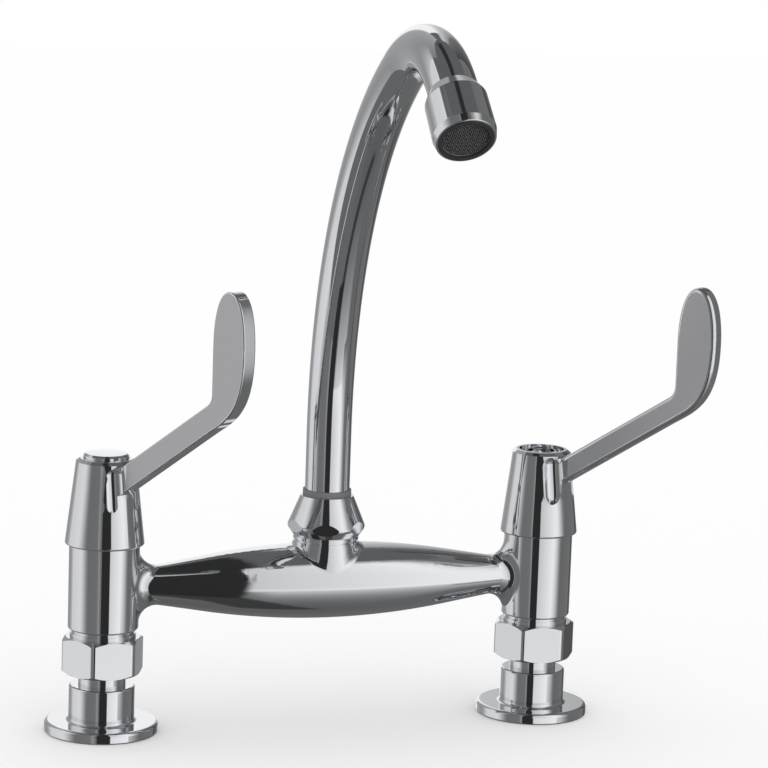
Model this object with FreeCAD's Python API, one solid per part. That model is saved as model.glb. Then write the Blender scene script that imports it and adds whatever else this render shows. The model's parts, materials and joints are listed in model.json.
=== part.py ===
import FreeCAD, Part
import math
import os

from FreeCAD import Rotation, Vector

# Two-handle bridge kitchen faucet, in millimetres.
# +X runs along the bridge from the left foot to the right foot, -Y is the side the user stands on
# and +Z is up. The origin is on the deck, midway between the two inlets.

# ---------------------------------------------------------------- overall layout
INLET_CENTRE_DISTANCE = 180.0    # centre to centre of the two feet
BRIDGE_AXIS_HEIGHT = 58.4        # centre line of the bridge above the deck
LEFT_LEVER_ANGLE = 25.0          # plan angle of the lever from the front towards the right
RIGHT_LEVER_ANGLE = 30.0
SIDES = (("left", -1.0), ("right", 1.0))

# ---------------------------------------------------------------- clearances
RUNNING_CLEARANCE = 0.05         # radial, shaft turning in a bore
FIXED_CLEARANCE = 0.04           # radial, parts screwed or pressed together
FACE_CLEARANCE = 0.10            # axial, turning face beside a fixed one
LOOSE_CLEARANCE = 0.35           # radial, turning parts that never touch
DISC_FILM = 0.02                 # water film between the two ceramic discs
JOIN_TOLERANCE = 1e-6            # profile ends closer than this already meet
CUT_MARGIN = 2.0                 # how far a cutting tool runs past the face it opens
PICK_MARGIN = 1.0                # how far round a piece its blend edges are looked for

# ---------------------------------------------------------------- feet
FLANGE_RADIUS = 22.6
FLANGE_THICKNESS = 4.4
FLANGE_TOP_EDGE = 1.5
FLANGE_FOOT_EDGE = 0.6
FLANGE_ROOT_RADIUS = 1.2
COLLAR_RADIUS = 13.1
FOOT_HEIGHT = 18.8
COLLAR_EDGE = 0.9
INLET_THREAD_RADIUS = 9.316      # minor radius of the G 1/2 inlet thread
INLET_THREAD_DEPTH = 11.0
FLANGE_SEAL_INNER_RADIUS = 15.6
FLANGE_SEAL_WIDTH = 3.6
FLANGE_SEAL_THICKNESS = 1.4

# ---------------------------------------------------------------- swivel tails and union nuts
TAIL_RADIUS = 9.4
WATERWAY_RADIUS = 6.5
TAIL_HEAD_THICKNESS = 2.8
UNION_WASHER_THICKNESS = 1.6
NUT_BOTTOM = 23.8
NUT_HEIGHT = 14.8
NUT_ACROSS_FLATS = 29.4
NUT_CORNER_RADIUS = 2.4
NUT_BEVEL_ANGLE = 35.0
NUT_LIP_THICKNESS = 3.0
LEFT_NUT_ANGLE = -24.4           # plan angle of one nut corner from the front
RIGHT_NUT_ANGLE = -34.6
UNION_THREAD_RADIUS = 13.15      # G 3/4 spigot under each barrel

# ---------------------------------------------------------------- barrels and bridge (one casting)
BARREL_RADIUS = 14.0
BARREL_BOTTOM = 41.6
BARREL_HEIGHT = 35.0
BARREL_EDGE = 0.9
SPIGOT_RELIEF_WIDTH = 1.3
SPIGOT_RELIEF_DEPTH = 0.7
BRIDGE_RADIUS = 15.4             # at the middle of the bridge
BRIDGE_NARROWING = 10.833        # how much the radius drops from the middle to the barrel's axis
BRIDGE_SWELL_SHARE = 5.0 / 9.0   # share of each half where the profile is an arc, before a straight cone
BRIDGE_WALL = 3.0
BRIDGE_FILLET = 7.0
BOSS_RADIUS = 13.2
BOSS_HEIGHT = 18.6               # above the bridge centre line, up to the nut
BOSS_GROOVE_WIDTH = 0.8
BOSS_GROOVE_DEPTH = 0.7
BOSS_FILLET = 3.0
BOSS_FLARE_HEIGHT = 15.0         # below the boss's upper face, where the flare meets the bridge
BOSS_FLARE_START = 2.8           # below the boss's upper face
BOSS_FLARE_LENGTH = 16.4         # half size of the flare's foot along the bridge
BOSS_FLARE_INSET = 0.35          # how far its foot stays inside the bridge's side

# ---------------------------------------------------------------- ceramic headworks
CHAMBER_RADIUS = 9.1
HEADWORK_THREAD_RADIUS = 9.9     # G 1/2, at the pitch radius
SEAT_HEIGHT = 47.0
HEADWORK_THREAD_LENGTH = 14.6
SLEEVE_RADIUS = 8.9
SLEEVE_RELIEF_RADIUS = 8.3
CAVITY_RADIUS = 7.5
CAVITY_TOP_ABOVE_SEAT = 13.0
SEAT_SEAL_BORE_RADIUS = 5.2
SEAT_SEAL_THICKNESS = 2.4
DISC_RADIUS = 7.2
DISC_THICKNESS = 3.0
DISC_PORT_INNER_RADIUS = 2.2
DISC_PORT_OUTER_RADIUS = 5.6
DISC_PORT_ANGLE = 84.0
SHUT_PORT_ANGLE = 90.0           # turning ports from the fixed ones when the valve is shut
DRIVER_THICKNESS = 2.4
LUG_LENGTH = 2.4
LUG_WIDTH = 2.0
LUG_HEIGHT = 1.0
LUG_OFFSET = 0.4                 # beyond the port edge
WINDOW_WIDTH = 6.0
WINDOW_HEIGHT = 4.6
WINDOW_COUNT = 4
GASKET_RADIUS = 12.6
GASKET_THICKNESS = 0.8
HEADWORK_FLANGE_RADIUS = 12.8
HEADWORK_FLANGE_THICKNESS = 1.2
HEADWORK_HEX_ACROSS_FLATS = 19.0
HEADWORK_HEX_HEIGHT = 4.6
NECK_RADIUS = 6.4
NECK_HEIGHT = 7.6
SPINDLE_RADIUS = 4.0
SPINDLE_RING_SECTION = 1.1
CIRCLIP_THICKNESS = 0.8
CIRCLIP_OUTER_RADIUS = 5.8
CIRCLIP_GROOVE_DEPTH = 0.6
CIRCLIP_GAP_ANGLE = 70.0
SPLINE_TEETH = 20
SPLINE_DEPTH = 0.4

# ---------------------------------------------------------------- handles
SKIRT_OVERLAP = 0.9              # how far the skirt comes down over the barrel
SKIRT_RADIUS = 15.8
SKIRT_EDGE = 0.8
HUB_TOP_RADIUS = 11.9
HUB_CONE_HEIGHT = 33.2
HUB_BEVEL_HEIGHT = 1.2
HUB_BEVEL_WIDTH = 1.6
HUB_CAVITY_DEPTH = 17.3
HUB_CAVITY_TOP_RADIUS = 7.4
CAP_SEAT_RADIUS = 9.1
CAP_SEAT_DEPTH = 3.6
SCREW_POCKET_RADIUS = 5.4
SCREW_POCKET_DEPTH = 3.0
HUB_WEB = 2.2
SCREW_RADIUS = 2.0               # M4 handle screw
SCREW_LENGTH = 9.6
SCREW_HOLE_RUN_OUT = 1.0         # tapped hole below the screw's tip
SCREW_HEAD_RADIUS = 4.2
SCREW_HEAD_HEIGHT = 2.6
SCREW_CROSS_LENGTH = 4.6
SCREW_CROSS_WIDTH = 1.0
SCREW_CROSS_DEPTH = 1.6
CAP_RISE = 1.9
CAP_BEVEL = 0.8
CAP_DOME_RISE = 0.5
CAP_CLEARANCE = 0.15
LEVER_REACH = 87.5               # hub centre line to the outer edge of the paddle
LEVER_THICKNESS = 5.7
LEVER_BAR_HEIGHT = 9.5
LEVER_SLOPE = 31.6               # degrees above level
LEVER_ROOT_DROP = 9.6            # bar's upper edge below the hub's top, at the hub's centre
LEVER_INNER_CORNER_RADIUS = 5.4
PADDLE_WIDTH = 18.7
PADDLE_SIDE_LENGTH = 21.2        # straight inner side, from the corner above the bar
PADDLE_TIP_LENGTH = 21.6
PADDLE_TIP_FULLNESS = 0.62       # 0.55 makes the tip an ellipse, more makes it blunter
PADDLE_HEEL_REACH = 3.5          # where the outer curve leaves the bar, inside the corner
PADDLE_HEEL_PULL = 13.0
PADDLE_SIDE_PULL = 24.0
LEFT_LEVER_EDGE = 0.6
RIGHT_LEVER_EDGE = 1.7
GROOVE_RADIUS = 4.6              # ball-ended grooves beside the blade, sunk into the hub
GROOVE_TOP_DROP = 5.0            # upper ball centre below the hub's top
GROOVE_BOTTOM_DROP = 16.4
LEFT_GROOVE_REACH = 14.6         # hub centre line to the upper ball's centre
RIGHT_GROOVE_REACH = 13.0
GROOVE_BLOCK_SINK = 0.3          # how far the filling beside the blade starts inside it

# ---------------------------------------------------------------- spout
TUBE_RADIUS = 9.0
TUBE_WALL = 1.0
TUBE_BEND_START = 118.0          # height where the riser starts to lean forward
RISER_BEND_RADIUS = 176.0
RISER_BEND_ANGLE = 62.0
HOOK_BEND_RADIUS = 48.5
SPOUT_END_ANGLE = 132.5          # direction of the outlet, from straight up
FERRULE_RADIUS = 10.4
FERRULE_LENGTH = 15.2
FERRULE_RISE = 1.3               # how far it stands above the split ring
FERRULE_SOCKET_DEPTH = 7.0
O_RING_SECTION = 1.7
O_RING_GROOVE_WIDTH = 2.1
O_RING_LAND = 1.0
SPLIT_RING_THICKNESS = 1.5
SPLIT_RING_OUTER_RADIUS = 11.5
SPLIT_RING_GROOVE_DEPTH = 0.65
SPLIT_RING_GAP_ANGLE = 24.0

# ---------------------------------------------------------------- spout nut and its bush
SPOUT_THREAD_RADIUS = 12.3
SPOUT_THREAD_LENGTH = 7.2
SPOUT_NUT_HEIGHT = 15.8
SPOUT_NUT_RADIUS = 15.8
SPOUT_NUT_BULGE_HEIGHT = 3.4     # widest ring above the nut's lower edge
SPOUT_NUT_FOOT_RADIUS = 13.5
SPOUT_NUT_TOP_RADIUS = 10.6
SPOUT_NUT_BULGE_ROUNDING = 2.0
SPOUT_NUT_ACROSS_FLATS = 29.2
SPOUT_NUT_ANGLE = -15.4          # plan angle of the front flat's normal from the front
SPOUT_NUT_SHOULDER_THICKNESS = 2.4
BUSH_RADIUS = 9.7
BUSH_RISE = 2.4
BUSH_LENGTH = 7.2

# ---------------------------------------------------------------- aerator
AERATOR_LENGTH = 22.4
AERATOR_SHOULDER_LENGTH = 4.5
AERATOR_SHOULDER_RADIUS = 11.15
AERATOR_LIP_RADIUS = 11.4
AERATOR_LIP_TAPER_LENGTH = 3.0
AERATOR_MOUTH_RADIUS = 10.7
AERATOR_BORE_RADIUS = 10.0
AERATOR_SOCKET_DEPTH = 8.0       # how far the tube runs into the housing
AERATOR_STEP_WIDTH = 1.6
AERATOR_WASHER_THICKNESS = 1.5
INSERT_WALL = 1.0
INSERT_LIP_WIDTH = 1.5
INSERT_RISE = 0.4
FLOW_PLATE_THICKNESS = 2.0
FLOW_HOLE_RADIUS = 0.9
FLOW_HOLE_COUNT = 12
SCREEN_THICKNESS = 0.5
SCREEN_RECESS = 0.9
SCREEN_BEAD_RADIUS = 0.35

# ---------------------------------------------------------------- heights that follow
FOOT_X = INLET_CENTRE_DISTANCE / 2.0
BRIDGE_SWELL_HALF_LENGTH = FOOT_X * BRIDGE_SWELL_SHARE
BRIDGE_SWELL_RADIUS = BRIDGE_SWELL_HALF_LENGTH * (FOOT_X - BRIDGE_SWELL_HALF_LENGTH / 2.0) / BRIDGE_NARROWING
NUT_TOP = NUT_BOTTOM + NUT_HEIGHT
TAIL_HEAD_BOTTOM = NUT_BOTTOM + NUT_LIP_THICKNESS
UNION_WASHER_BOTTOM = TAIL_HEAD_BOTTOM + TAIL_HEAD_THICKNESS
SPIGOT_BOTTOM = UNION_WASHER_BOTTOM + UNION_WASHER_THICKNESS
BARREL_TOP = BARREL_BOTTOM + BARREL_HEIGHT
THREAD_BOTTOM = BARREL_TOP - HEADWORK_THREAD_LENGTH
BOSS_TOP = BRIDGE_AXIS_HEIGHT + BOSS_HEIGHT
SPOUT_THREAD_TOP = BOSS_TOP + SPOUT_THREAD_LENGTH
FIXED_DISC_BOTTOM = SEAT_HEIGHT + SEAT_SEAL_THICKNESS
TURNING_DISC_BOTTOM = FIXED_DISC_BOTTOM + DISC_THICKNESS + DISC_FILM
DRIVER_BOTTOM = TURNING_DISC_BOTTOM + DISC_THICKNESS
DRIVER_TOP = DRIVER_BOTTOM + DRIVER_THICKNESS
CAVITY_TOP = SEAT_HEIGHT + CAVITY_TOP_ABOVE_SEAT
HEADWORK_FLANGE_BOTTOM = BARREL_TOP + GASKET_THICKNESS
HEX_BOTTOM = HEADWORK_FLANGE_BOTTOM + HEADWORK_FLANGE_THICKNESS
NECK_BOTTOM = HEX_BOTTOM + HEADWORK_HEX_HEIGHT
NECK_TOP = NECK_BOTTOM + NECK_HEIGHT
CIRCLIP_BOTTOM = NECK_TOP + FACE_CLEARANCE
SKIRT_BOTTOM = BARREL_TOP - SKIRT_OVERLAP
HUB_CONE_TOP = SKIRT_BOTTOM + HUB_CONE_HEIGHT
HUB_TOP = HUB_CONE_TOP + HUB_BEVEL_HEIGHT
HUB_CAVITY_TOP = SKIRT_BOTTOM + HUB_CAVITY_DEPTH
CAP_SEAT_BOTTOM = HUB_TOP - CAP_SEAT_DEPTH
SCREW_HEAD_BOTTOM = CAP_SEAT_BOTTOM - SCREW_POCKET_DEPTH
SPLINE_SOCKET_TOP = SCREW_HEAD_BOTTOM - HUB_WEB
SPINDLE_TOP = SPLINE_SOCKET_TOP - 2.0 * FACE_CLEARANCE
SPLINE_BOTTOM = HUB_CAVITY_TOP - 2.0 * FACE_CLEARANCE
SPINDLE_BORE_RADIUS = SPINDLE_RADIUS + RUNNING_CLEARANCE
SPLIT_RING_BOTTOM = SPOUT_THREAD_TOP + FACE_CLEARANCE
FERRULE_TOP = SPLIT_RING_BOTTOM + SPLIT_RING_THICKNESS + FERRULE_RISE
FERRULE_BOTTOM = FERRULE_TOP - FERRULE_LENGTH
NUT_SHOULDER = SPLIT_RING_BOTTOM + SPLIT_RING_THICKNESS + FACE_CLEARANCE
SPOUT_NUT_BOTTOM = BOSS_TOP + 4.0 * FACE_CLEARANCE
SPOUT_NUT_TOP = SPOUT_NUT_BOTTOM + SPOUT_NUT_HEIGHT
BUSH_TOP = SPOUT_NUT_TOP + BUSH_RISE
TUBE_BOTTOM = FERRULE_TOP - FERRULE_SOCKET_DEPTH
INSERT_RADIUS = AERATOR_BORE_RADIUS - FIXED_CLEARANCE
FRONT = Vector(0, -1, 0)
UP = Vector(0, 0, 1)
ORIGIN = Vector(0, 0, 0)


# ================================================================ drawing helpers
def corner_arc(before, corner, after, radius):
    """Tangent arc that rounds one corner of a profile, with its two end points."""
    to_before = (before - corner).normalize()
    to_after = (after - corner).normalize()
    half = to_before.getAngle(to_after) / 2.0
    run = radius / math.tan(half)
    start = corner + to_before * run
    end = corner + to_after * run
    bisector = (to_before + to_after).normalize()
    middle = corner + bisector * (radius / math.sin(half) - radius)
    return start, middle, end


def rounded_wire(corners):
    """Closed wire through (point, corner radius) pairs."""
    edges = []
    ends = []
    count = len(corners)
    for index, (point, radius) in enumerate(corners):
        if radius > 0:
            before = corners[index - 1][0]
            after = corners[(index + 1) % count][0]
            start, middle, end = corner_arc(before, point, after, radius)
            edges.append((index, Part.Arc(start, middle, end).toShape()))
            ends.append((start, end))
        else:
            ends.append((point, point))
    for index in range(count):
        start = ends[index][1]
        end = ends[(index + 1) % count][0]
        if start.distanceToPoint(end) > JOIN_TOLERANCE:
            edges.append((index + 0.5, Part.makeLine(start, end)))
    edges.sort(key=lambda item: item[0])
    return Part.Wire([edge for _, edge in edges])


def turned(profile, centre_x=0.0):
    """Solid of revolution about a vertical axis from (radius, height[, corner radius]) points."""
    corners = []
    for point in profile:
        radius = point[2] if len(point) > 2 else 0.0
        corners.append((Vector(point[0], 0, point[1]), radius))
    face = Part.Face(rounded_wire(corners))
    solid = face.revolve(ORIGIN, UP, 360)
    solid.translate(Vector(centre_x, 0, 0))
    return solid


def cylinder(radius, bottom, top, centre_x=0.0):
    return Part.makeCylinder(radius, top - bottom, Vector(centre_x, 0, bottom))


def ring(inner_radius, outer_radius, bottom, top, centre_x=0.0):
    outer = cylinder(outer_radius, bottom, top, centre_x)
    inner = cylinder(inner_radius, bottom - CUT_MARGIN, top + CUT_MARGIN, centre_x)
    return outer.cut(inner)


def torus(centre_radius, section_radius, height, centre_x=0.0):
    return Part.makeTorus(centre_radius, section_radius, Vector(centre_x, 0, height), UP)


def plan_direction(angle):
    """Horizontal unit vector at a plan angle in degrees from the front towards +X."""
    turn = math.radians(angle)
    return Vector(math.sin(turn), -math.cos(turn), 0)


def hexagon_prism(across_flats, bottom, top, corner_angle, corner_radius=0.0):
    """Hexagonal bar about the Z axis with one corner at the given plan angle."""
    circumradius = across_flats / math.sqrt(3.0)
    corners = []
    for index in range(6):
        point = plan_direction(corner_angle + 60.0 * index) * circumradius
        corners.append((Vector(point.x, point.y, bottom), corner_radius))
    return Part.Face(rounded_wire(corners)).extrude(UP * (top - bottom))


def gap_wedge(radius, bottom, top, angle, gap_angle):
    """Wedge that opens a split ring."""
    half = gap_angle / 2.0
    first = plan_direction(angle - half) * radius
    second = plan_direction(angle + half) * radius
    low = Vector(0, 0, bottom)
    wire = Part.makePolygon([low, low + first, low + second, low])
    return Part.Face(wire).extrude(UP * (top - bottom))


def spline_prism(radius, bottom, top):
    """Serrated shaft end with straight teeth."""
    points = []
    for index in range(2 * SPLINE_TEETH):
        reach = radius if index % 2 == 0 else radius - SPLINE_DEPTH
        point = plan_direction(180.0 * index / SPLINE_TEETH) * reach
        points.append(Vector(point.x, point.y, bottom))
    points.append(points[0])
    return Part.Face(Part.makePolygon(points)).extrude(UP * (top - bottom))


def bezier(poles):
    curve = Part.BezierCurve()
    curve.setPoles(poles)
    return curve.toShape()


def moved_to(shape, centre_x):
    moved = shape.copy()
    moved.translate(Vector(centre_x, 0, 0))
    return moved


def turned_about_z(shape, angle):
    moved = shape.copy()
    moved.rotate(ORIGIN, UP, angle)
    return moved


# ================================================================ feet, tails and unions
def deck_flange():
    """Round foot with its collar and the inlet socket underneath."""
    socket_radius = TAIL_RADIUS + FIXED_CLEARANCE
    body = turned([
        (INLET_THREAD_RADIUS, 0),
        (FLANGE_RADIUS, 0, FLANGE_FOOT_EDGE),
        (FLANGE_RADIUS, FLANGE_THICKNESS, FLANGE_TOP_EDGE),
        (COLLAR_RADIUS, FLANGE_THICKNESS, FLANGE_ROOT_RADIUS),
        (COLLAR_RADIUS, FOOT_HEIGHT, COLLAR_EDGE),
        (socket_radius, FOOT_HEIGHT),
        (socket_radius, INLET_THREAD_DEPTH + FLANGE_SEAL_THICKNESS),
        (WATERWAY_RADIUS, INLET_THREAD_DEPTH + FLANGE_SEAL_THICKNESS),
        (WATERWAY_RADIUS, INLET_THREAD_DEPTH),
        (INLET_THREAD_RADIUS, INLET_THREAD_DEPTH),
    ])
    seal_outer_radius = FLANGE_SEAL_INNER_RADIUS + FLANGE_SEAL_WIDTH
    groove = ring(FLANGE_SEAL_INNER_RADIUS, seal_outer_radius, -CUT_MARGIN, FLANGE_SEAL_THICKNESS)
    return body.cut(groove)


def flange_seal():
    """Flat rubber ring let into the underside of the foot."""
    inner_radius = FLANGE_SEAL_INNER_RADIUS + FIXED_CLEARANCE
    outer_radius = FLANGE_SEAL_INNER_RADIUS + FLANGE_SEAL_WIDTH - FIXED_CLEARANCE
    return ring(inner_radius, outer_radius, 0, FLANGE_SEAL_THICKNESS)


def swivel_tail():
    """Short pipe whose head is held by the union nut."""
    bottom = INLET_THREAD_DEPTH + FLANGE_SEAL_THICKNESS
    head_radius = UNION_THREAD_RADIUS - FIXED_CLEARANCE
    return turned([
        (WATERWAY_RADIUS, bottom),
        (TAIL_RADIUS, bottom),
        (TAIL_RADIUS, TAIL_HEAD_BOTTOM),
        (head_radius, TAIL_HEAD_BOTTOM),
        (head_radius, UNION_WASHER_BOTTOM),
        (WATERWAY_RADIUS, UNION_WASHER_BOTTOM),
    ])


def union_washer():
    """Fibre washer between the tail's head and the barrel's spigot."""
    outer_radius = UNION_THREAD_RADIUS - FIXED_CLEARANCE
    return ring(WATERWAY_RADIUS, outer_radius, UNION_WASHER_BOTTOM, SPIGOT_BOTTOM)


def union_nut(corner_angle):
    """Hexagonal union nut with bevelled ends and softened corners."""
    flat_radius = NUT_ACROSS_FLATS / 2.0
    corner_reach = NUT_ACROSS_FLATS / math.sqrt(3.0)
    bevel_height = (corner_reach - flat_radius) * math.tan(math.radians(NUT_BEVEL_ANGLE))
    blank = turned([
        (TAIL_RADIUS + RUNNING_CLEARANCE, NUT_BOTTOM),
        (flat_radius, NUT_BOTTOM),
        (corner_reach, NUT_BOTTOM + bevel_height),
        (corner_reach, NUT_TOP - bevel_height),
        (flat_radius, NUT_TOP),
        (UNION_THREAD_RADIUS, NUT_TOP),
        (UNION_THREAD_RADIUS, TAIL_HEAD_BOTTOM),
        (TAIL_RADIUS + RUNNING_CLEARANCE, TAIL_HEAD_BOTTOM),
    ])
    hexagon = hexagon_prism(NUT_ACROSS_FLATS, NUT_BOTTOM - CUT_MARGIN, NUT_TOP + CUT_MARGIN,
                            corner_angle, NUT_CORNER_RADIUS)
    return blank.common(hexagon)


# ================================================================ bridge casting
def bridge_profile_radius(offset):
    """Radius of the bridge's outside at a distance from its middle."""
    swell = min(offset, BRIDGE_SWELL_HALF_LENGTH)
    drop = BRIDGE_SWELL_RADIUS - math.sqrt(BRIDGE_SWELL_RADIUS ** 2 - swell ** 2)
    slope = BRIDGE_SWELL_HALF_LENGTH / math.sqrt(BRIDGE_SWELL_RADIUS ** 2
                                                 - BRIDGE_SWELL_HALF_LENGTH ** 2)
    return BRIDGE_RADIUS - drop - slope * max(0.0, offset - BRIDGE_SWELL_HALF_LENGTH)


def bridge_spindle(shrink):
    """Round swollen bar along X: the bridge's outside, or its waterway when shrunk by the wall."""
    half = FOOT_X
    swell = BRIDGE_SWELL_HALF_LENGTH

    def station(x):
        return Vector(x, 0, bridge_profile_radius(abs(x)) - shrink)

    arc = Part.Arc(station(-swell), station(0), station(swell)).toShape()
    edges = [
        Part.makeLine(Vector(-half, 0, 0), station(-half)),
        Part.makeLine(station(-half), station(-swell)),
        arc,
        Part.makeLine(station(swell), station(half)),
        Part.makeLine(station(half), Vector(half, 0, 0)),
        Part.makeLine(Vector(half, 0, 0), Vector(-half, 0, 0)),
    ]
    solid = Part.Face(Part.Wire(edges)).revolve(ORIGIN, Vector(1, 0, 0), 360)
    solid.translate(Vector(0, 0, BRIDGE_AXIS_HEIGHT))
    return solid


def barrel(centre_x):
    """Outside of one barrel, without its spigot."""
    return turned([
        (0, BARREL_BOTTOM),
        (BARREL_RADIUS, BARREL_BOTTOM, BARREL_EDGE),
        (BARREL_RADIUS, BARREL_TOP, BARREL_EDGE / 2.0),
        (0, BARREL_TOP),
    ], centre_x)


def edges_between(shape, low, high, bound):
    """Edges whose middle lies inside a box and which are neither straight nor short."""
    found = []
    for edge in shape.Edges:
        box = edge.BoundBox
        inside = box.XMin > low.x and box.XMax < high.x and box.ZMin > low.z and box.ZMax < high.z
        if inside and edge.Length > bound and not isinstance(edge.Curve, (Part.Line, Part.Circle)):
            found.append(edge)
    return found


def boss_flare():
    """Spreading foot of the boss: a circle at the top, an oval where it sinks into the bridge."""
    top = BOSS_TOP - BOSS_FLARE_START
    bottom = BOSS_TOP - BOSS_FLARE_HEIGHT
    drop = bottom - BRIDGE_AXIS_HEIGHT
    half_width = math.sqrt(BRIDGE_RADIUS ** 2 - drop ** 2) - BOSS_FLARE_INSET
    circle = Part.Circle(Vector(0, 0, top), UP, BOSS_RADIUS)
    oval = Part.Ellipse(Vector(0, 0, bottom), BOSS_FLARE_LENGTH, half_width)
    sections = [Part.Wire(circle.toShape()), Part.Wire(oval.toShape())]
    return Part.makeLoft(sections, True, True)


def bridge_outside():
    """Bridge, barrels and spout boss, blended where they meet."""
    boss_bottom = BRIDGE_AXIS_HEIGHT
    shape = bridge_spindle(0.0)
    for _, side in SIDES:
        shape = shape.fuse(barrel(side * FOOT_X))
    shape = shape.removeSplitter()
    barrel_margin = BARREL_RADIUS + PICK_MARGIN
    for _, side in SIDES:
        low = Vector(side * FOOT_X - barrel_margin, 0, BARREL_BOTTOM)
        high = Vector(side * FOOT_X + barrel_margin, 0, BARREL_TOP)
        shape = shape.makeFillet(BRIDGE_FILLET, edges_between(shape, low, high, BARREL_RADIUS / 4.0))
    boss = cylinder(BOSS_RADIUS, boss_bottom, BOSS_TOP).fuse(boss_flare())
    shape = shape.fuse(boss.removeSplitter())
    reach = BOSS_RADIUS + PICK_MARGIN
    low = Vector(-reach, 0, boss_bottom)
    high = Vector(reach, 0, BOSS_TOP)
    return shape.makeFillet(BOSS_FILLET, edges_between(shape, low, high, BOSS_RADIUS / 2.0))


def bridge_body():
    """The casting: two barrels joined by a hollow bridge, with the spout's boss on top."""
    shape = bridge_outside()
    thread = cylinder(SPOUT_THREAD_RADIUS, BOSS_TOP, SPOUT_THREAD_TOP)
    shape = shape.fuse(thread)
    groove_bottom = BOSS_TOP - 2.0 * BOSS_GROOVE_WIDTH - BOSS_GROOVE_WIDTH / 2.0
    shape = shape.cut(ring(BOSS_RADIUS - BOSS_GROOVE_DEPTH, BOSS_RADIUS + CUT_MARGIN,
                           groove_bottom, groove_bottom + BOSS_GROOVE_WIDTH))
    for _, side in SIDES:
        centre_x = side * FOOT_X
        relief_radius = UNION_THREAD_RADIUS - SPIGOT_RELIEF_DEPTH
        relief_bottom = BARREL_BOTTOM - SPIGOT_RELIEF_WIDTH
        spigot = cylinder(UNION_THREAD_RADIUS - FIXED_CLEARANCE, SPIGOT_BOTTOM, relief_bottom, centre_x)
        relief = cylinder(relief_radius, relief_bottom, BARREL_BOTTOM, centre_x)
        shape = shape.fuse([spigot, relief])
    waterway = bridge_spindle(BRIDGE_WALL)
    bore_radius = FERRULE_RADIUS + RUNNING_CLEARANCE
    tools = [waterway, cylinder(bore_radius, BRIDGE_AXIS_HEIGHT, SPOUT_THREAD_TOP + CUT_MARGIN)]
    for _, side in SIDES:
        centre_x = side * FOOT_X
        tools.append(cylinder(WATERWAY_RADIUS, SPIGOT_BOTTOM - CUT_MARGIN, SEAT_HEIGHT, centre_x))
        tools.append(cylinder(CHAMBER_RADIUS, SEAT_HEIGHT, THREAD_BOTTOM, centre_x))
        tools.append(cylinder(HEADWORK_THREAD_RADIUS, THREAD_BOTTOM, BARREL_TOP + CUT_MARGIN, centre_x))
    cutter = tools[0].fuse(tools[1:])
    return shape.cut(cutter)


# ================================================================ ceramic headworks
def valve_seat_seal():
    """Rubber ring that presses the fixed disc against the seat."""
    return ring(SEAT_SEAL_BORE_RADIUS, CAVITY_RADIUS - FIXED_CLEARANCE, SEAT_HEIGHT, FIXED_DISC_BOTTOM)


def disc_port(bottom, top, angle):
    """Sector-shaped water port through a ceramic disc."""
    sector = gap_wedge(2.0 * DISC_RADIUS, bottom, top, angle, DISC_PORT_ANGLE)
    band = ring(DISC_PORT_INNER_RADIUS, DISC_PORT_OUTER_RADIUS, bottom, top)
    return band.common(sector)


def ceramic_disc(bottom, radius, port_angle):
    """Lapped ceramic disc with two opposite ports."""
    top = bottom + DISC_THICKNESS
    disc = cylinder(radius, bottom, top)
    for turn in (0.0, 180.0):
        disc = disc.cut(disc_port(bottom - CUT_MARGIN, top + CUT_MARGIN, port_angle + turn))
    return disc


def driver_lugs(bottom, top, clearance):
    """Two lugs that key the spindle to the turning disc, clear of its ports."""
    width = LUG_WIDTH + 2.0 * clearance
    length = LUG_LENGTH + 2.0 * clearance
    middle = (DISC_PORT_INNER_RADIUS + DISC_PORT_OUTER_RADIUS) / 2.0 + LUG_OFFSET
    lugs = []
    for side in (-1.0, 1.0):
        corner = Vector(-width / 2.0, side * middle - length / 2.0, bottom)
        lugs.append(Part.makeBox(width, length, top - bottom, corner))
    return lugs


def fixed_disc():
    """Lower disc, its ports open towards the front and the back."""
    return ceramic_disc(FIXED_DISC_BOTTOM, CAVITY_RADIUS - FIXED_CLEARANCE, 0.0)


def turning_disc():
    """Upper disc, keyed to the spindle; shut when its ports lie across those of the fixed disc."""
    disc = ceramic_disc(TURNING_DISC_BOTTOM, DISC_RADIUS, SHUT_PORT_ANGLE)
    slots = driver_lugs(DRIVER_BOTTOM - LUG_HEIGHT, DRIVER_BOTTOM + CUT_MARGIN, FIXED_CLEARANCE)
    return disc.cut(slots)


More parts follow.
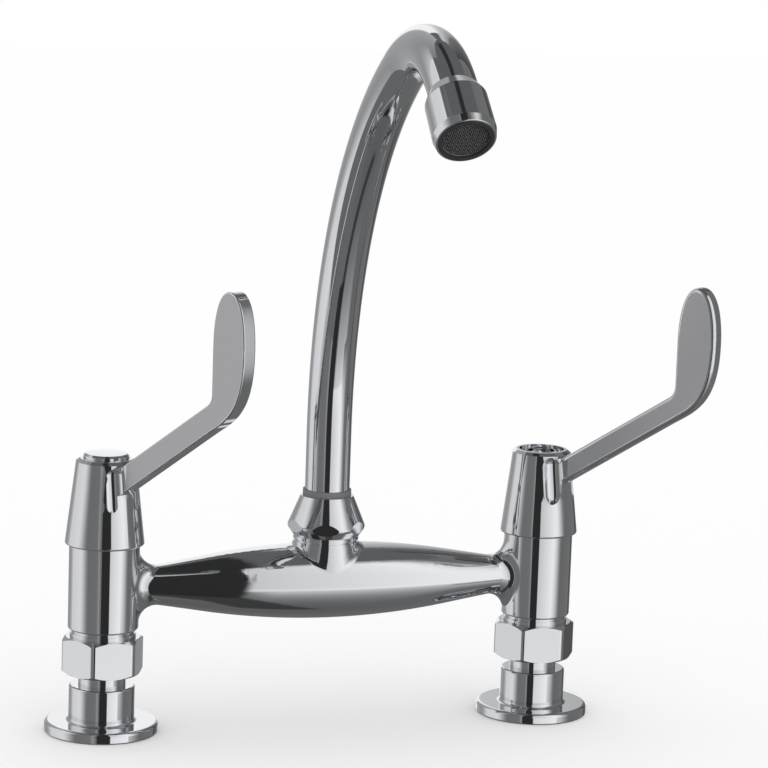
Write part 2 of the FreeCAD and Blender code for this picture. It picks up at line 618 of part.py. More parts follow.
def valve_body():
    """Brass headwork: sleeve with outlet windows, thread, flange, hexagon and neck."""
    thread_radius = HEADWORK_THREAD_RADIUS - FIXED_CLEARANCE
    relief_bottom = TURNING_DISC_BOTTOM
    shape = turned([
        (CAVITY_RADIUS, SEAT_HEIGHT),
        (SLEEVE_RADIUS, SEAT_HEIGHT),
        (SLEEVE_RADIUS, relief_bottom),
        (SLEEVE_RELIEF_RADIUS, relief_bottom),
        (SLEEVE_RELIEF_RADIUS, THREAD_BOTTOM),
        (thread_radius, THREAD_BOTTOM),
        (thread_radius, HEADWORK_FLANGE_BOTTOM),
        (HEADWORK_FLANGE_RADIUS, HEADWORK_FLANGE_BOTTOM),
        (HEADWORK_FLANGE_RADIUS, HEX_BOTTOM),
        (NECK_RADIUS, HEX_BOTTOM),
        (NECK_RADIUS, NECK_TOP),
        (SPINDLE_BORE_RADIUS, NECK_TOP),
        (SPINDLE_BORE_RADIUS, CAVITY_TOP),
        (CAVITY_RADIUS, CAVITY_TOP),
    ])
    hexagon = hexagon_prism(HEADWORK_HEX_ACROSS_FLATS, HEX_BOTTOM, NECK_BOTTOM, 0.0)
    hexagon = hexagon.cut(cylinder(SPINDLE_BORE_RADIUS, HEX_BOTTOM - CUT_MARGIN, NECK_BOTTOM + CUT_MARGIN))
    shape = shape.fuse(hexagon)
    window_bottom = DRIVER_BOTTOM
    window = Part.makeBox(WINDOW_WIDTH, SLEEVE_RADIUS + CUT_MARGIN, WINDOW_HEIGHT,
                          Vector(-WINDOW_WIDTH / 2.0, 0, window_bottom))
    for index in range(WINDOW_COUNT):
        shape = shape.cut(turned_about_z(window, 360.0 * index / WINDOW_COUNT))
    return shape


def valve_gasket():
    """Flat sealing ring between the headwork's flange and the top of the barrel."""
    inner_radius = HEADWORK_THREAD_RADIUS
    return ring(inner_radius, GASKET_RADIUS, BARREL_TOP, HEADWORK_FLANGE_BOTTOM)


def ring_groove_middle():
    """Height of the spindle's O-ring, inside the headwork's neck."""
    return NECK_BOTTOM + NECK_HEIGHT / 3.0


def spindle():
    """Stem with its driver plate, O-ring groove, circlip groove and splined end."""
    ring_floor = SPINDLE_RADIUS - SPINDLE_RING_SECTION
    groove_half = SPINDLE_RING_SECTION / 2.0 + FIXED_CLEARANCE
    groove_middle = ring_groove_middle()
    clip_floor = SPINDLE_RADIUS - CIRCLIP_GROOVE_DEPTH
    clip_top = CIRCLIP_BOTTOM + CIRCLIP_THICKNESS
    stem = turned([
        (0, DRIVER_BOTTOM),
        (DISC_RADIUS, DRIVER_BOTTOM),
        (DISC_RADIUS, DRIVER_TOP),
        (SPINDLE_RADIUS, DRIVER_TOP),
        (SPINDLE_RADIUS, groove_middle - groove_half),
        (ring_floor, groove_middle - groove_half),
        (ring_floor, groove_middle + groove_half),
        (SPINDLE_RADIUS, groove_middle + groove_half),
        (SPINDLE_RADIUS, CIRCLIP_BOTTOM),
        (clip_floor, CIRCLIP_BOTTOM),
        (clip_floor, clip_top),
        (SPINDLE_RADIUS, clip_top),
        (SPINDLE_RADIUS, SPLINE_BOTTOM),
        (0, SPLINE_BOTTOM),
    ])
    for turn in (0.0, 180.0):
        stem = stem.cut(disc_port(DRIVER_BOTTOM - CUT_MARGIN, DRIVER_TOP, SHUT_PORT_ANGLE + turn))
    stem = stem.fuse(driver_lugs(DRIVER_BOTTOM - LUG_HEIGHT + FIXED_CLEARANCE, DRIVER_BOTTOM, 0.0))
    stem = stem.fuse(spline_prism(SPINDLE_RADIUS, SPLINE_BOTTOM, SPINDLE_TOP))
    hole_bottom = SCREW_HEAD_BOTTOM - SCREW_LENGTH - SCREW_HOLE_RUN_OUT
    return stem.cut(cylinder(SCREW_RADIUS + FIXED_CLEARANCE, hole_bottom, SPINDLE_TOP + CUT_MARGIN))


def spindle_o_ring():
    section_radius = SPINDLE_RING_SECTION / 2.0
    return torus(SPINDLE_RADIUS - section_radius, section_radius - FIXED_CLEARANCE / 2.0, ring_groove_middle())


def spindle_circlip():
    """Open spring clip that keeps the spindle from dropping into the headwork."""
    inner_radius = SPINDLE_RADIUS - CIRCLIP_GROOVE_DEPTH + FIXED_CLEARANCE
    top = CIRCLIP_BOTTOM + CIRCLIP_THICKNESS
    clip = ring(inner_radius, CIRCLIP_OUTER_RADIUS, CIRCLIP_BOTTOM, top)
    wedge = gap_wedge(2.0 * CIRCLIP_OUTER_RADIUS, CIRCLIP_BOTTOM - CUT_MARGIN, top + CUT_MARGIN,
                      180.0, CIRCLIP_GAP_ANGLE)
    return clip.cut(wedge)


# ================================================================ handles
def lever_outline():
    """Side profile of bar and paddle, in the lever's own plane: x is the reach, z the height."""
    slope = math.radians(LEVER_SLOPE)
    along = Vector(math.cos(slope), 0, math.sin(slope))
    inner_reach = LEVER_REACH - PADDLE_WIDTH
    upper_root = Vector(0, 0, HUB_TOP - LEVER_ROOT_DROP)
    lower_root = upper_root - UP * (LEVER_BAR_HEIGHT / math.cos(slope))
    inner_corner = upper_root + along * (inner_reach / math.cos(slope))
    heel = lower_root + along * ((inner_reach - PADDLE_HEEL_REACH) / math.cos(slope))
    inner_side = inner_corner + UP * PADDLE_SIDE_LENGTH
    outer_side = inner_side + Vector(PADDLE_WIDTH, 0, 0)
    tip = inner_side + Vector(PADDLE_WIDTH / 2.0, 0, PADDLE_TIP_LENGTH)
    tip_rise = UP * (PADDLE_TIP_LENGTH * PADDLE_TIP_FULLNESS)
    tip_run = Vector(PADDLE_WIDTH / 2.0 * PADDLE_TIP_FULLNESS, 0, 0)
    fillet_start, fillet_middle, fillet_end = corner_arc(
        inner_side, inner_corner, upper_root, LEVER_INNER_CORNER_RADIUS)
    edges = [
        Part.makeLine(lower_root, heel),
        bezier([heel, heel + along * PADDLE_HEEL_PULL, outer_side - UP * PADDLE_SIDE_PULL, outer_side]),
        bezier([outer_side, outer_side + tip_rise, tip + tip_run, tip]),
        bezier([tip, tip - tip_run, inner_side + tip_rise, inner_side]),
        Part.makeLine(inner_side, fillet_start),
        Part.Arc(fillet_start, fillet_middle, fillet_end).toShape(),
        Part.makeLine(fillet_end, upper_root),
        Part.makeLine(upper_root, lower_root),
    ]
    return Part.Wire(edges)


def lever_blade(edge_radius):
    """Flat lever of even thickness with eased edges."""
    outline = lever_outline()
    outline.translate(Vector(0, -LEVER_THICKNESS / 2.0, 0))
    blade = Part.Face(outline).extrude(Vector(0, LEVER_THICKNESS, 0))
    edges = []
    for edge in blade.Edges:
        box = edge.BoundBox
        if box.YLength < 1e-3 and box.XMax > LEVER_THICKNESS:
            edges.append(edge)
    return blade.makeFillet(edge_radius, edges)


def groove_line(reach):
    """Ball centres of a groove, as (reach, height) pairs: it leans like the hub's side."""
    lean = (SKIRT_RADIUS - HUB_TOP_RADIUS) / (HUB_CONE_TOP - SKIRT_BOTTOM)
    top = HUB_TOP - GROOVE_TOP_DROP
    bottom = HUB_TOP - GROOVE_BOTTOM_DROP
    return (reach, top), (reach + (top - bottom) * lean, bottom)


def groove_tool(reach, side):
    """Round bar with ball ends that cuts the groove on one side of the blade."""
    (top_reach, top), (bottom_reach, bottom) = groove_line(reach)
    offset = side * (LEVER_THICKNESS / 2.0 + GROOVE_RADIUS)
    start = Vector(bottom_reach, offset, bottom)
    run = Vector(top_reach, offset, top) - start
    diagonal = GROOVE_RADIUS * math.sqrt(0.5)
    length = run.Length
    edges = [
        Part.Arc(Vector(0, 0, -GROOVE_RADIUS), Vector(diagonal, 0, -diagonal),
                 Vector(GROOVE_RADIUS, 0, 0)).toShape(),
        Part.makeLine(Vector(GROOVE_RADIUS, 0, 0), Vector(GROOVE_RADIUS, 0, length)),
        Part.Arc(Vector(GROOVE_RADIUS, 0, length), Vector(diagonal, 0, length + diagonal),
                 Vector(0, 0, length + GROOVE_RADIUS)).toShape(),
        Part.makeLine(Vector(0, 0, length + GROOVE_RADIUS), Vector(0, 0, -GROOVE_RADIUS)),
    ]
    tool = Part.Face(Part.Wire(edges)).revolve(ORIGIN, UP, 360)
    tool.Placement = FreeCAD.Placement(start, FreeCAD.Rotation(UP, run))
    return tool


def lever_root(reach):
    """Filling between the hub and the blade's two sides, before the grooves are cut."""
    (top_reach, top), (bottom_reach, bottom) = groove_line(reach)
    half = LEVER_THICKNESS / 2.0 - GROOVE_BLOCK_SINK
    side = LEVER_THICKNESS / 2.0 + GROOVE_RADIUS
    shoulder = math.sqrt(HUB_TOP_RADIUS ** 2 - side ** 2)
    corners = [
        Vector(0, 0, 0),
        Vector(shoulder, side, 0),
        Vector(reach, half, 0),
        Vector(reach, -half, 0),
        Vector(shoulder, -side, 0),
    ]
    low = bottom - GROOVE_RADIUS
    lean = (bottom_reach - top_reach) / (top - bottom)
    plan = Part.Face(Part.makePolygon(corners + [corners[0]]))
    plan.translate(Vector((top - low) * lean, 0, low))
    height = HUB_TOP - low
    block = plan.extrude(Vector(-height * lean, 0, height))
    wide_side = lever_outline()
    wide_side.translate(Vector(0, -SKIRT_RADIUS, 0))
    return block.common(Part.Face(wide_side).extrude(Vector(0, 2.0 * SKIRT_RADIUS, 0)))


def hub_outside():
    """Tapered hub that stands over the headwork."""
    return turned([
        (0, SKIRT_BOTTOM),
        (SKIRT_RADIUS, SKIRT_BOTTOM, SKIRT_EDGE),
        (HUB_TOP_RADIUS, HUB_CONE_TOP),
        (HUB_TOP_RADIUS - HUB_BEVEL_WIDTH, HUB_TOP, HUB_BEVEL_WIDTH / 4.0),
        (0, HUB_TOP),
    ])


def hub_hollow():
    """Skirt cavity, spline socket, screw hole, screw pocket and cap seat, as one cutting tool."""
    skirt_bore = BARREL_RADIUS + LOOSE_CLEARANCE
    straight_top = HEADWORK_FLANGE_BOTTOM + FACE_CLEARANCE
    cavity = turned([
        (0, SKIRT_BOTTOM - CUT_MARGIN),
        (skirt_bore, SKIRT_BOTTOM - CUT_MARGIN),
        (skirt_bore, straight_top),
        (HUB_CAVITY_TOP_RADIUS, HUB_CAVITY_TOP),
        (0, HUB_CAVITY_TOP),
    ])
    socket = spline_prism(SPINDLE_RADIUS + FIXED_CLEARANCE, HUB_CAVITY_TOP - CUT_MARGIN, SPLINE_SOCKET_TOP)
    screw_hole = cylinder(SCREW_RADIUS + FACE_CLEARANCE, SPLINE_SOCKET_TOP - CUT_MARGIN, SCREW_HEAD_BOTTOM)
    pocket = cylinder(SCREW_POCKET_RADIUS, SCREW_HEAD_BOTTOM, CAP_SEAT_BOTTOM)
    seat = cylinder(CAP_SEAT_RADIUS, CAP_SEAT_BOTTOM, HUB_TOP + CUT_MARGIN)
    return cavity.fuse([socket, screw_hole, pocket, seat])


def lever_handle(lever_angle, edge_radius, groove_reach):
    """Hub, lever root and blade in one piece."""
    grooves = [groove_tool(groove_reach, side) for side in (-1.0, 1.0)]
    rooted_hub = hub_outside().fuse(lever_root(groove_reach)).removeSplitter().cut(grooves)
    handle = rooted_hub.fuse(lever_blade(edge_radius)).removeSplitter()
    handle.rotate(ORIGIN, UP, lever_angle - 90.0)
    return handle.cut(hub_hollow())


def handle_screw():
    """Pan-head screw with a cross recess that holds the handle on the spindle."""
    head_top = SCREW_HEAD_BOTTOM + SCREW_HEAD_HEIGHT
    screw = turned([
        (0, SCREW_HEAD_BOTTOM - SCREW_LENGTH),
        (SCREW_RADIUS, SCREW_HEAD_BOTTOM - SCREW_LENGTH),
        (SCREW_RADIUS, SCREW_HEAD_BOTTOM),
        (SCREW_HEAD_RADIUS, SCREW_HEAD_BOTTOM),
        (SCREW_HEAD_RADIUS, head_top, SCREW_HEAD_HEIGHT / 2.5),
        (0, head_top),
    ])
    half_length = SCREW_CROSS_LENGTH / 2.0
    half_width = SCREW_CROSS_WIDTH / 2.0
    bottom = head_top - SCREW_CROSS_DEPTH
    depth = SCREW_CROSS_DEPTH + CUT_MARGIN
    slot = Part.makeBox(SCREW_CROSS_LENGTH, SCREW_CROSS_WIDTH, depth, Vector(-half_length, -half_width, bottom))
    return screw.cut([slot, turned_about_z(slot, 90.0)])


def index_cap():
    """Plain domed cap pressed into the top of the hub."""
    radius = CAP_SEAT_RADIUS - CAP_CLEARANCE
    shoulder = HUB_TOP + CAP_RISE
    crown = shoulder + CAP_DOME_RISE
    rim = radius - CAP_BEVEL
    dome_radius = (rim ** 2 + CAP_DOME_RISE ** 2) / (2.0 * CAP_DOME_RISE)
    blank = turned([
        (0, CAP_SEAT_BOTTOM),
        (radius, CAP_SEAT_BOTTOM),
        (radius, shoulder - CAP_BEVEL),
        (rim, shoulder),
        (rim, crown + CUT_MARGIN),
        (0, crown + CUT_MARGIN),
    ])
    return blank.common(Part.makeSphere(dome_radius, Vector(0, 0, crown - dome_radius)))


# ================================================================ spout
def spout_point(distance_forward, height):
    return Vector(0, -distance_forward, height)


def bend(start, heading, radius, angle):
    """Arc in the spout's plane that turns from one heading to another, in degrees from straight up."""
    first = math.radians(heading)
    last = math.radians(angle)
    centre = start + spout_point(math.cos(first), -math.sin(first)) * radius

    def at(turn):
        return centre + spout_point(-math.cos(turn), math.sin(turn)) * radius

    return Part.Arc(start, at((first + last) / 2.0), at(last)).toShape(), at(last)


def spout_path():
    """Centre line of the tube: straight riser, long lean, tight hook, short straight end."""
    bottom = spout_point(0, TUBE_BOTTOM)
    lean_start = spout_point(0, TUBE_BEND_START)
    lean, hook_start = bend(lean_start, 0.0, RISER_BEND_RADIUS, RISER_BEND_ANGLE)
    hook, hook_end = bend(hook_start, RISER_BEND_ANGLE, HOOK_BEND_RADIUS, SPOUT_END_ANGLE)
    end = hook_end + outlet_direction() * AERATOR_SOCKET_DEPTH
    wire = Part.Wire([Part.makeLine(bottom, lean_start), lean, hook, Part.makeLine(hook_end, end)])
    return wire, hook_end


def outlet_direction():
    turn = math.radians(SPOUT_END_ANGLE)
    return spout_point(math.sin(turn), math.cos(turn))


def swept_tube(radius):
    """Round bar along the spout's centre line."""
    path, _ = spout_path()
    start = spout_point(0, TUBE_BOTTOM)
    circle = Part.Wire([Part.makeCircle(radius, start, UP)])
    return path.makePipeShell([circle], True, False)


def spout_tube():
    """Bent round tube, open at both ends."""
    outside = swept_tube(TUBE_RADIUS)
    inside = swept_tube(TUBE_RADIUS - TUBE_WALL)
    return outside.cut(inside)


def o_ring_middles():
    """Heights of the two seals in the ferrule, counted up from its lower end."""
    first = FERRULE_BOTTOM + O_RING_LAND + O_RING_GROOVE_WIDTH / 2.0
    return first, first + O_RING_GROOVE_WIDTH + O_RING_LAND


def spout_ferrule():
    """Brass end piece of the tube that turns in the boss and carries seals and split ring."""
    bore_radius = TUBE_RADIUS - TUBE_WALL
    shape = turned([
        (bore_radius, FERRULE_BOTTOM),
        (FERRULE_RADIUS, FERRULE_BOTTOM),
        (FERRULE_RADIUS, FERRULE_TOP),
        (TUBE_RADIUS + FIXED_CLEARANCE, FERRULE_TOP),
        (TUBE_RADIUS + FIXED_CLEARANCE, TUBE_BOTTOM),
        (bore_radius, TUBE_BOTTOM),
    ])
    half = O_RING_GROOVE_WIDTH / 2.0
    for middle in o_ring_middles():
        shape = shape.cut(ring(FERRULE_RADIUS - O_RING_SECTION, FERRULE_RADIUS + CUT_MARGIN,
                               middle - half, middle + half))
    clip_floor = FERRULE_RADIUS - SPLIT_RING_GROOVE_DEPTH
    return shape.cut(ring(clip_floor, FERRULE_RADIUS + CUT_MARGIN, SPLIT_RING_BOTTOM,
                          SPLIT_RING_BOTTOM + SPLIT_RING_THICKNESS))


def spout_o_rings():
    """Two rubber rings that seal the ferrule in the boss."""
    section_radius = O_RING_SECTION / 2.0
    centre_radius = FERRULE_RADIUS - section_radius
    rings = [torus(centre_radius, section_radius - FIXED_CLEARANCE / 2.0, middle) for middle in o_ring_middles()]
    return Part.makeCompound(rings)


def spout_split_ring():
    """Open ring in the ferrule's groove, trapped between the boss and the nut's shoulder."""
    inner_radius = FERRULE_RADIUS - SPLIT_RING_GROOVE_DEPTH + FIXED_CLEARANCE
    top = SPLIT_RING_BOTTOM + SPLIT_RING_THICKNESS
    body = ring(inner_radius, SPLIT_RING_OUTER_RADIUS, SPLIT_RING_BOTTOM, top)
    wedge = gap_wedge(2.0 * SPLIT_RING_OUTER_RADIUS, SPLIT_RING_BOTTOM - CUT_MARGIN, top + CUT_MARGIN,
                      180.0, SPLIT_RING_GAP_ANGLE)
    return body.cut(wedge)


def spout_nut():
    """Bell-shaped nut with six flats cut into its lower bulge."""
    thread_radius = SPOUT_THREAD_RADIUS + FIXED_CLEARANCE
    ring_bore = SPLIT_RING_OUTER_RADIUS + LOOSE_CLEARANCE
    ferrule_bore = FERRULE_RADIUS + LOOSE_CLEARANCE
    bush_bore = BUSH_RADIUS + FIXED_CLEARANCE
    bulge = SPOUT_NUT_BOTTOM + SPOUT_NUT_BULGE_HEIGHT
    bush_bottom = BUSH_TOP - BUSH_LENGTH
    blank = turned([
        (thread_radius, SPOUT_NUT_BOTTOM),
        (SPOUT_NUT_FOOT_RADIUS, SPOUT_NUT_BOTTOM),
        (SPOUT_NUT_RADIUS, bulge, SPOUT_NUT_BULGE_ROUNDING),
        (SPOUT_NUT_TOP_RADIUS, SPOUT_NUT_TOP),
        (bush_bore, SPOUT_NUT_TOP),
        (bush_bore, bush_bottom),
        (ferrule_bore, bush_bottom),
        (ferrule_bore, NUT_SHOULDER),
        (ring_bore, NUT_SHOULDER),
        (ring_bore, SPOUT_THREAD_TOP),
        (thread_radius, SPOUT_THREAD_TOP),
    ])
    hexagon = hexagon_prism(SPOUT_NUT_ACROSS_FLATS, SPOUT_NUT_BOTTOM - CUT_MARGIN, SPOUT_NUT_TOP + CUT_MARGIN,
                            SPOUT_NUT_ANGLE + 30.0)
    return blank.common(hexagon)


def spout_bush():
    """Plastic guide bush that the tube turns in; its rim shows above the nut."""
    return ring(TUBE_RADIUS + RUNNING_CLEARANCE, BUSH_RADIUS, BUSH_TOP - BUSH_LENGTH, BUSH_TOP)


# ================================================================ aerator
def on_outlet(shape):
    """Moves a shape drawn about Z, with Z pointing out of the spout, to the spout's end."""
    _, hook_end = spout_path()
    placed = shape.copy()
    turn = Rotation(UP, outlet_direction())
    placed.Placement = FreeCAD.Placement(hook_end, turn)
    return placed


def aerator_housing():
    """Chromed cup on the end of the tube."""
    tube_bore = TUBE_RADIUS + FIXED_CLEARANCE
    step_radius = TUBE_RADIUS - TUBE_WALL
    return on_outlet(turned([
        (tube_bore, 0),
        (AERATOR_SHOULDER_RADIUS, AERATOR_SHOULDER_LENGTH, 1.0),
        (AERATOR_LIP_RADIUS, AERATOR_LENGTH - AERATOR_LIP_TAPER_LENGTH, 1.0),
        (AERATOR_MOUTH_RADIUS, AERATOR_LENGTH, 0.3),
        (AERATOR_BORE_RADIUS, AERATOR_LENGTH),
        (AERATOR_BORE_RADIUS, AERATOR_SOCKET_DEPTH + AERATOR_STEP_WIDTH),
        (step_radius, AERATOR_SOCKET_DEPTH + AERATOR_STEP_WIDTH),
        (step_radius, AERATOR_SOCKET_DEPTH),
        (tube_bore, AERATOR_SOCKET_DEPTH),
    ]))


def aerator_washer():
    """Rubber washer that seals the insert against the step in the housing."""
    bottom = AERATOR_SOCKET_DEPTH + AERATOR_STEP_WIDTH
    return on_outlet(ring(TUBE_RADIUS - TUBE_WALL, INSERT_RADIUS, bottom, bottom + AERATOR_WASHER_THICKNESS))


def aerator_insert():
    """Dark plastic cup with a perforated flow plate and the rim that shows at the mouth."""
    back = AERATOR_SOCKET_DEPTH + AERATOR_STEP_WIDTH + AERATOR_WASHER_THICKNESS
    front = AERATOR_LENGTH + INSERT_RISE
    cup_radius = INSERT_RADIUS - INSERT_WALL
    mouth_radius = INSERT_RADIUS - INSERT_LIP_WIDTH
    screen_back = AERATOR_LENGTH - SCREEN_RECESS - SCREEN_THICKNESS
    shape = turned([
        (0, back),
        (INSERT_RADIUS, back),
        (INSERT_RADIUS, front, INSERT_RISE / 2.0),
        (mouth_radius, front, INSERT_RISE / 2.0),
        (mouth_radius, screen_back + SCREEN_THICKNESS),
        (cup_radius, screen_back + SCREEN_THICKNESS),
        (cup_radius, back + FLOW_PLATE_THICKNESS),
        (0, back + FLOW_PLATE_THICKNESS),
    ])
    holes = []
    for index in range(FLOW_HOLE_COUNT):
        spot = plan_direction(360.0 * index / FLOW_HOLE_COUNT) * (cup_radius - 2.0 * FLOW_HOLE_RADIUS)
        holes.append(Part.makeCylinder(FLOW_HOLE_RADIUS, FLOW_PLATE_THICKNESS + 2.0 * CUT_MARGIN,
                                       Vector(spot.x, spot.y, back - CUT_MARGIN)))
    return on_outlet(shape.cut(holes))


def aerator_screen():
    """Fine metal screen, as one thin disc, clipped behind the insert's rim."""
    back = AERATOR_LENGTH - SCREEN_RECESS - SCREEN_THICKNESS
    radius = INSERT_RADIUS - INSERT_WALL - FIXED_CLEARANCE
    disc = cylinder(radius, back, back + SCREEN_THICKNESS)
    bead_radius = INSERT_RADIUS - INSERT_LIP_WIDTH - 2.0 * SCREEN_BEAD_RADIUS
    bead = torus(bead_radius, SCREEN_BEAD_RADIUS, back + SCREEN_THICKNESS)
    return on_outlet(disc.fuse(bead))


# ================================================================ assembly
def side_parts(name, side):
    """Every piece that stands on one inlet, keyed by node name."""
    corner_angle = LEFT_NUT_ANGLE if name == "left" else RIGHT_NUT_ANGLE
    lever_angle = LEFT_LEVER_ANGLE if name == "left" else RIGHT_LEVER_ANGLE
    lever_edge = LEFT_LEVER_EDGE if name == "left" else RIGHT_LEVER_EDGE
    groove_reach = LEFT_GROOVE_REACH if name == "left" else RIGHT_GROOVE_REACH
    parts = {
        "deck_flange": deck_flange(),
        "flange_seal": flange_seal(),
        "swivel_tail": swivel_tail(),
        "union_washer": union_washer(),
        "union_nut": union_nut(corner_angle),
        "valve_seat_seal": valve_seat_seal(),
        "fixed_disc": fixed_disc(),
        "turning_disc": turning_disc(),
        "valve_body": valve_body(),
        "valve_gasket": valve_gasket(),
        "spindle": spindle(),
        "spindle_o_ring": spindle_o_ring(),
        "spindle_circlip": spindle_circlip(),
        "lever_handle": lever_handle(lever_angle, lever_edge, groove_reach),
        "handle_screw": handle_screw(),
    }
    if name == "left":
        parts["index_cap"] = index_cap()
    placed = {}
    for part_name, shape in parts.items():
        placed[name + "_" + part_name] = moved_to(shape, side * FOOT_X)
    return placed


def all_parts():
    parts = {"bridge_body": bridge_body()}
    for name, side in SIDES:
        parts.update(side_parts(name, side))
    parts["spout_tube"] = spout_tube()
    parts["spout_ferrule"] = spout_ferrule()
    parts["spout_o_rings"] = spout_o_rings()
    parts["spout_split_ring"] = spout_split_ring()
    parts["spout_nut"] = spout_nut()
    parts["spout_bush"] = spout_bush()
    parts["aerator_housing"] = aerator_housing()
    parts["aerator_washer"] = aerator_washer()
    parts["aerator_insert"] = aerator_insert()
    parts["aerator_screen"] = aerator_screen()
    return parts


os.makedirs("parts", exist_ok=True)
for node, shape in all_parts().items():
    assert shape.isValid(), node + " is not a valid shape"
    shape.exportStep("parts/" + node + ".step")
    print(node, len(shape.Solids), "solid(s)", round(shape.Volume, 1), "mm3")
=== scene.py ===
import json
import math

import bpy
from mathutils import Matrix, Vector


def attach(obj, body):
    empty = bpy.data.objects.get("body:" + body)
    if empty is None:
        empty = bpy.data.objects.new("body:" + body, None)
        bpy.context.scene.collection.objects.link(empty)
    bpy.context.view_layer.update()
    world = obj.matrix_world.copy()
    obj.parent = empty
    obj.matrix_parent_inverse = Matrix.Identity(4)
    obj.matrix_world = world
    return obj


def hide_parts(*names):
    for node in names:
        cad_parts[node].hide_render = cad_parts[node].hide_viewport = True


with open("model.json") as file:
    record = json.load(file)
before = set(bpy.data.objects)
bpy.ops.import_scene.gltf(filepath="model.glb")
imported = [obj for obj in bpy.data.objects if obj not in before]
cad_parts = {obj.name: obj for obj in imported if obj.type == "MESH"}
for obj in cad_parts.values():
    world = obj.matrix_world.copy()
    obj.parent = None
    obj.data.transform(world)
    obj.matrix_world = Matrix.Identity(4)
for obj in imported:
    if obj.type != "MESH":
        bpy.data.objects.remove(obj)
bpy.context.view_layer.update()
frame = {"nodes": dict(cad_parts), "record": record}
NODES = frame["nodes"]

# ---------------------------------------------------------------- camera
CAMERA_AZIMUTH = -16.39
CAMERA_ELEVATION = 9.60
CAMERA_ROLL = 1.97
CAMERA_DISTANCE = 1.286
CAMERA_TARGET = Vector((0.0222, 0.0, 0.1377))
LENS_MM = 150.75
SENSOR_MM = 36.0

# ---------------------------------------------------------------- studio sizes
SHELL_RADIUS = 1.0
SOFTBOX_RADIUS = 0.95
FLAG_RADIUS = 0.92
FLAG_DISTANCE = 0.512
STUDIO_BOTTOM = -0.45
CEILING_HEIGHT = 1.68
CEILING_RADIUS = 1.65
WALL_TOP = 2.6
FLAG_TOP = 1.2
MAT_RADIUS = 1.4
# The mat's darker middle is a painted shadow of the object; its lit part towards the front right is a painted
# pool of softbox light.
MAT_MIDDLE_FADE = (0.083, 0.391)
MAT_LEVELS = (0.121, 0.146)      # in the middle, and round it
MAT_LIT_START = (-3.7, 6.3)      # azimuths in degrees
MAT_LIT_END = (43.5, 58.5)
MAT_LIT_FADE = (0.206, 1.29)
MAT_LIT_LEVEL = 0.562
CARD_GAP = 0.002
FLOOR_REACH = 4.0


def make_camera():
    azimuth = math.radians(CAMERA_AZIMUTH)
    elevation = math.radians(CAMERA_ELEVATION)
    roll = math.radians(CAMERA_ROLL)
    back = Vector((
        math.sin(azimuth) * math.cos(elevation),
        -math.cos(azimuth) * math.cos(elevation),
        math.sin(elevation),
    ))
    level = (-back).cross(Vector((0, 0, 1))).normalized()
    upright = level.cross(-back)
    right = math.cos(roll) * level + math.sin(roll) * upright
    up = -math.sin(roll) * level + math.cos(roll) * upright
    data = bpy.data.cameras.new("camera")
    data.lens = LENS_MM
    data.sensor_width = SENSOR_MM
    data.clip_start = 0.01
    data.clip_end = 100
    camera = bpy.data.objects.new("camera", data)
    place = CAMERA_TARGET + back * CAMERA_DISTANCE
    camera.matrix_world = Matrix((
        (right.x, up.x, back.x, place.x),
        (right.y, up.y, back.y, place.y),
        (right.z, up.z, back.z, place.z),
        (0, 0, 0, 1),
    ))
    bpy.context.scene.collection.objects.link(camera)
    bpy.context.scene.camera = camera


# ---------------------------------------------------------------- outlet screen sizes
SPOUT_END_ANGLE = 132.5
WIRE_PITCH = 0.0007
WIRE_RADIUS = 0.0002
WIRE_DEPTH = 0.0004
RIM_RADIUS = 0.00035
RIM_RISE = 0.00015
WIRE_SIDES = 5
RIM_SIDES = 12
RIM_STEPS = 96

# ---------------------------------------------------------------- brushed lever faces
HUB_X = 0.09
LEVER_ANGLES = (("left_lever_handle", -HUB_X, 25.0), ("right_lever_handle", HUB_X, 30.0))
SATIN_START = 0.0165             # from the hub's axis
SATIN_FADE = 0.001
SATIN_FACING = (0.985, 0.998)    # how squarely a face looks along the lever's normal
SATIN_ROUGHNESS = 0.32
SATIN_COLOUR = (0.495, 0.497, 0.515, 1.0)


